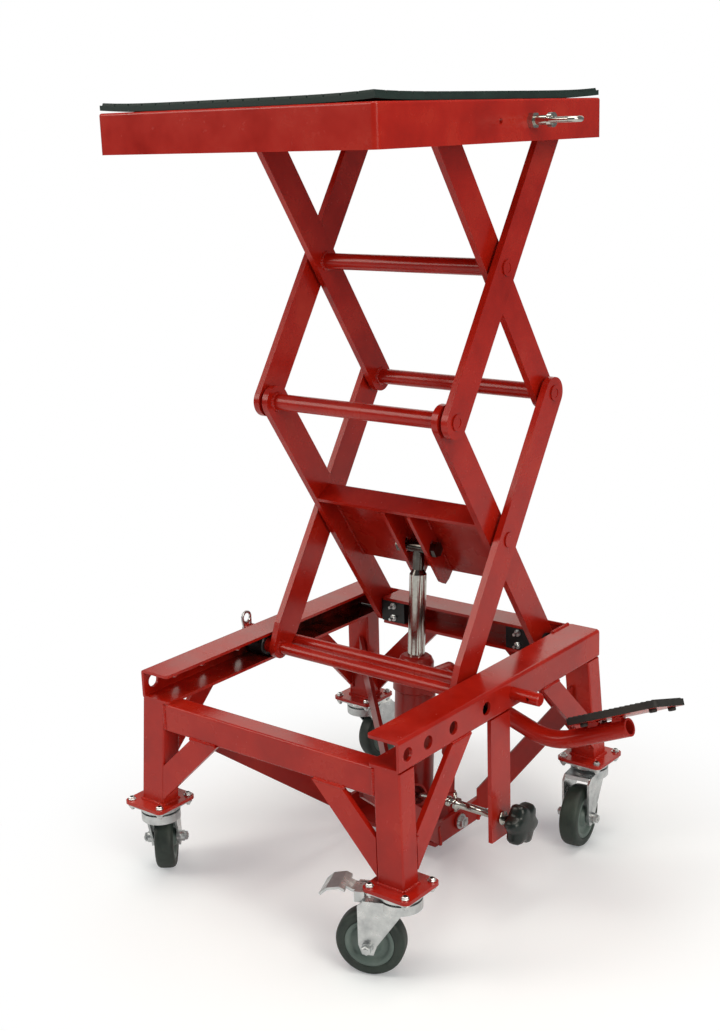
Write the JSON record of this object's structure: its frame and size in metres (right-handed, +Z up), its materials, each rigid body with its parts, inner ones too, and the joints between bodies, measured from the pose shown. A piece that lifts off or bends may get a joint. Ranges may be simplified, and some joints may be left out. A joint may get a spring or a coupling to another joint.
{
  "type": "scissor lift table",
  "caption": "Foot-pumped double scissor lift table with a rubber-faced platform, welded red base, hydraulic jack, release knob, lock bar and swivel casters.",
  "frame": {"origin": "centre of the footprint's bounding box, on the floor", "axes": "+X towards the foot pedal, across the rails; +Y towards the fixed pivot end of the scissor; +Z up"},
  "size_m": [0.5722, 0.5076, 0.893],
  "materials": {
    "red_enamel": "gloss enamel",
    "black_enamel": "satin enamel",
    "black_nylon": "matte",
    "rubber_mat": "matte",
    "rubber_wheel": "satin",
    "zinc_plate": "bright zinc",
    "chrome_steel": "polished"
  },
  "bodies": {
    "base": {"right_rail": "red_enamel", "left_rail": "red_enamel", "rear_channel": "red_enamel", "front_crossbar": "red_enamel", "front_right_leg": "red_enamel", "front_left_leg": "red_enamel", "rear_right_leg": "red_enamel", "rear_left_leg": "red_enamel", "front_right_corner_brace": "red_enamel", "front_left_corner_brace": "red_enamel", "rear_right_corner_brace": "red_enamel", "rear_left_corner_brace": "red_enamel", "front_right_side_brace": "red_enamel", "front_left_side_brace": "red_enamel", "rear_right_side_brace": "red_enamel", "rear_left_side_brace": "red_enamel", "jack_cradle": "red_enamel", "release_rod_bracket": "red_enamel", "hinge_bracket_right": "black_enamel", "hinge_bracket_left": "black_enamel", "caster_head_front_left": "zinc_plate", "caster_head_front_right": "zinc_plate", "caster_head_rear_left": "zinc_plate", "caster_head_rear_right": "zinc_plate"},
    "lower_inner_arms": {"lower_inner_arm_right": "red_enamel", "lower_inner_arm_left": "red_enamel", "front_mid_tube": "red_enamel", "lifting_angle": "red_enamel"},
    "lower_outer_arms": {"lower_outer_arm_right": "red_enamel", "lower_outer_arm_left": "red_enamel", "slide_bar": "red_enamel"},
    "slide_roller_right": {"slide_roller_right": "black_nylon"},
    "slide_roller_left": {"slide_roller_left": "black_nylon"},
    "upper_outer_arms": {"upper_outer_arm_right": "red_enamel", "upper_outer_arm_left": "red_enamel"},
    "upper_inner_arms": {"upper_inner_arm_right": "red_enamel", "upper_inner_arm_left": "red_enamel", "rear_mid_tube": "red_enamel", "upper_centre_tube": "red_enamel", "top_roller_shaft": "red_enamel"},
    "table": {"table_tray": "red_enamel", "table_mat": "rubber_mat", "tie_down_eye": "chrome_steel"},
    "jack": {"jack_cylinder": "red_enamel"},
    "ram": {"jack_ram": "chrome_steel"},
    "plunger": {"pump_plunger": "zinc_plate"},
    "pedal": {"pedal_lever": "red_enamel"},
    "release_rod": {"release_rod": "chrome_steel"},
    "release_link": {"release_link": "chrome_steel"},
    "lock_bar": {"lock_bar": "red_enamel"},
    "lock_clip": {"lock_clip": "zinc_plate"},
    "caster_fork_front_left": {"caster_fork_front_left": "zinc_plate"},
    "caster_wheel_front_left": {"caster_wheel_front_left": "rubber_wheel"},
    "caster_fork_front_right": {"caster_fork_front_right": "zinc_plate"},
    "caster_wheel_front_right": {"caster_wheel_front_right": "rubber_wheel"},
    "caster_fork_rear_left": {"caster_fork_rear_left": "zinc_plate"},
    "caster_wheel_rear_left": {"caster_wheel_rear_left": "rubber_wheel"},
    "caster_fork_rear_right": {"caster_fork_rear_right": "zinc_plate"},
    "caster_wheel_rear_right": {"caster_wheel_rear_right": "rubber_wheel"},
    "brake_pedal": {"brake_pedal": "zinc_plate"}
  },
  "joints": [
    {"name": "table_height", "type": "hinge", "parent": "base", "child": "lower_inner_arms", "pos_m": [-0.05752, 0.16581, 0.2485], "axis": [1, 0, 0], "range_deg": [0, 47.77]},
    {"name": "lower_cross", "type": "hinge", "parent": "lower_inner_arms", "child": "lower_outer_arms", "pos_m": [-0.05752, 0.06679, 0.40138], "axis": [1, 0, 0], "range_deg": [-95.59, 0]},
    {"name": "middle_front", "type": "hinge", "parent": "lower_inner_arms", "child": "upper_outer_arms", "pos_m": [-0.05752, -0.03223, 0.55427], "axis": [1, 0, 0], "range_deg": [-95.59, 0]},
    {"name": "upper_cross", "type": "hinge", "parent": "upper_outer_arms", "child": "upper_inner_arms", "pos_m": [-0.05752, 0.06679, 0.70715], "axis": [1, 0, 0], "range_deg": [0, 95.59]},
    {"name": "table_pivot", "type": "hinge", "parent": "upper_outer_arms", "child": "table", "pos_m": [-0.05752, 0.16581, 0.86004], "axis": [1, 0, 0], "range_deg": [0, 47.8]},
    {"name": "slide_roller_spin_right", "type": "hinge", "parent": "lower_outer_arms", "child": "slide_roller_right", "pos_m": [0.10347, -0.03223, 0.2485], "axis": [1, 0, 0], "continuous": true},
    {"name": "slide_roller_spin_left", "type": "hinge", "parent": "lower_outer_arms", "child": "slide_roller_left", "pos_m": [-0.21852, -0.03223, 0.2485], "axis": [1, 0, 0], "continuous": true},
    {"name": "jack_tilt", "type": "hinge", "parent": "base", "child": "jack", "pos_m": [-0.05752, 0.05381, 0.038], "axis": [1, 0, 0], "range_deg": [0, 14.08]},
    {"name": "ram_travel", "type": "slide", "parent": "jack", "child": "ram", "axis": [0, 0.0785, 0.9969], "range_m": [-0.09858, 0]},
    {"name": "foot_pedal", "type": "hinge", "parent": "jack", "child": "pedal", "pos_m": [-0.01953, 0.06794, 0.21744], "axis": [0, 0.9969, -0.0785], "range_deg": [0, 20], "stiffness_Nm_per_rad": 8, "springref_deg": -28.65},
    {"name": "pump_stroke", "type": "slide", "parent": "jack", "child": "plunger", "axis": [0, 0.0785, 0.9969], "range_m": [-0.01074, 0]},
    {"name": "release_knob", "type": "hinge", "parent": "base", "child": "release_rod", "pos_m": [0.10247, -0.02619, 0.108], "axis": [1, 0, 0], "range_deg": [0, 180]},
    {"name": "release_link_swing", "type": "hinge", "parent": "base", "child": "release_link", "pos_m": [0.05448, -0.02619, 0.108], "axis": [-0.5799, -0.6009, 0.5501], "range_deg": [0, 5.94]},
    {"name": "lock_bar_draw", "type": "slide", "parent": "base", "child": "lock_bar", "axis": [1, 0, 0], "range_m": [-0.402, 0]},
    {"name": "lock_clip_lift", "type": "slide", "parent": "lock_bar", "child": "lock_clip", "axis": [0, 0, 1], "range_m": [0, 0.03]},
    {"name": "caster_swivel_front_left", "type": "hinge", "parent": "base", "child": "caster_fork_front_left", "pos_m": [-0.23453, -0.20469, 0.09], "axis": [0, 0, 1], "continuous": true},
    {"name": "caster_roll_front_left", "type": "hinge", "parent": "caster_fork_front_left", "child": "caster_wheel_front_left", "pos_m": [-0.25574, -0.17941, 0.0375], "axis": [-0.766, -0.6428, 0], "continuous": true},
    {"name": "caster_swivel_front_right", "type": "hinge", "parent": "base", "child": "caster_fork_front_right", "pos_m": [0.11947, -0.20469, 0.09], "axis": [0, 0, 1], "continuous": true},
    {"name": "caster_roll_front_right", "type": "hinge", "parent": "caster_fork_front_right", "child": "caster_wheel_front_right", "pos_m": [0.08921, -0.21785, 0.0375], "axis": [0.3987, -0.9171, 0], "continuous": true},
    {"name": "caster_swivel_rear_left", "type": "hinge", "parent": "base", "child": "caster_fork_rear_left", "pos_m": [-0.23453, 0.18331, 0.09], "axis": [0, 0, 1], "continuous": true},
    {"name": "caster_roll_rear_left", "type": "hinge", "parent": "caster_fork_rear_left", "child": "caster_wheel_rear_left", "pos_m": [-0.22879, 0.21581, 0.0375], "axis": [-0.9848, 0.1736, 0], "continuous": true},
    {"name": "caster_swivel_rear_right", "type": "hinge", "parent": "base", "child": "caster_fork_rear_right", "pos_m": [0.11947, 0.18331, 0.09], "axis": [0, 0, 1], "continuous": true},
    {"name": "caster_roll_rear_right", "type": "hinge", "parent": "caster_fork_rear_right", "child": "caster_wheel_rear_right", "pos_m": [0.1235, 0.15055, 0.0375], "axis": [0.9925, 0.1219, 0], "continuous": true},
    {"name": "caster_brake", "type": "hinge", "parent": "caster_fork_front_right", "child": "brake_pedal", "pos_m": [0.08096, -0.22144, 0.0942], "axis": [0.3987, -0.9171, 0], "range_deg": [0, 12]}
  ],
  "couplings": [
    {"joint": "lower_cross", "follows": "table_height", "ratio": -2},
    {"joint": "middle_front", "follows": "table_height", "ratio": -2},
    {"joint": "upper_cross", "follows": "table_height", "ratio": 2},
    {"joint": "table_pivot", "follows": "table_height", "ratio": 1},
    {"joint": "jack_tilt", "follows": "table_height", "ratio": 0.29417},
    {"joint": "ram_travel", "follows": "table_height", "m_per_rad": -0.11812},
    {"joint": "pump_stroke", "follows": "foot_pedal", "m_per_rad": -0.0302},
    {"joint": "release_link_swing", "follows": "table_height", "ratio": 0.12365}
  ]
}
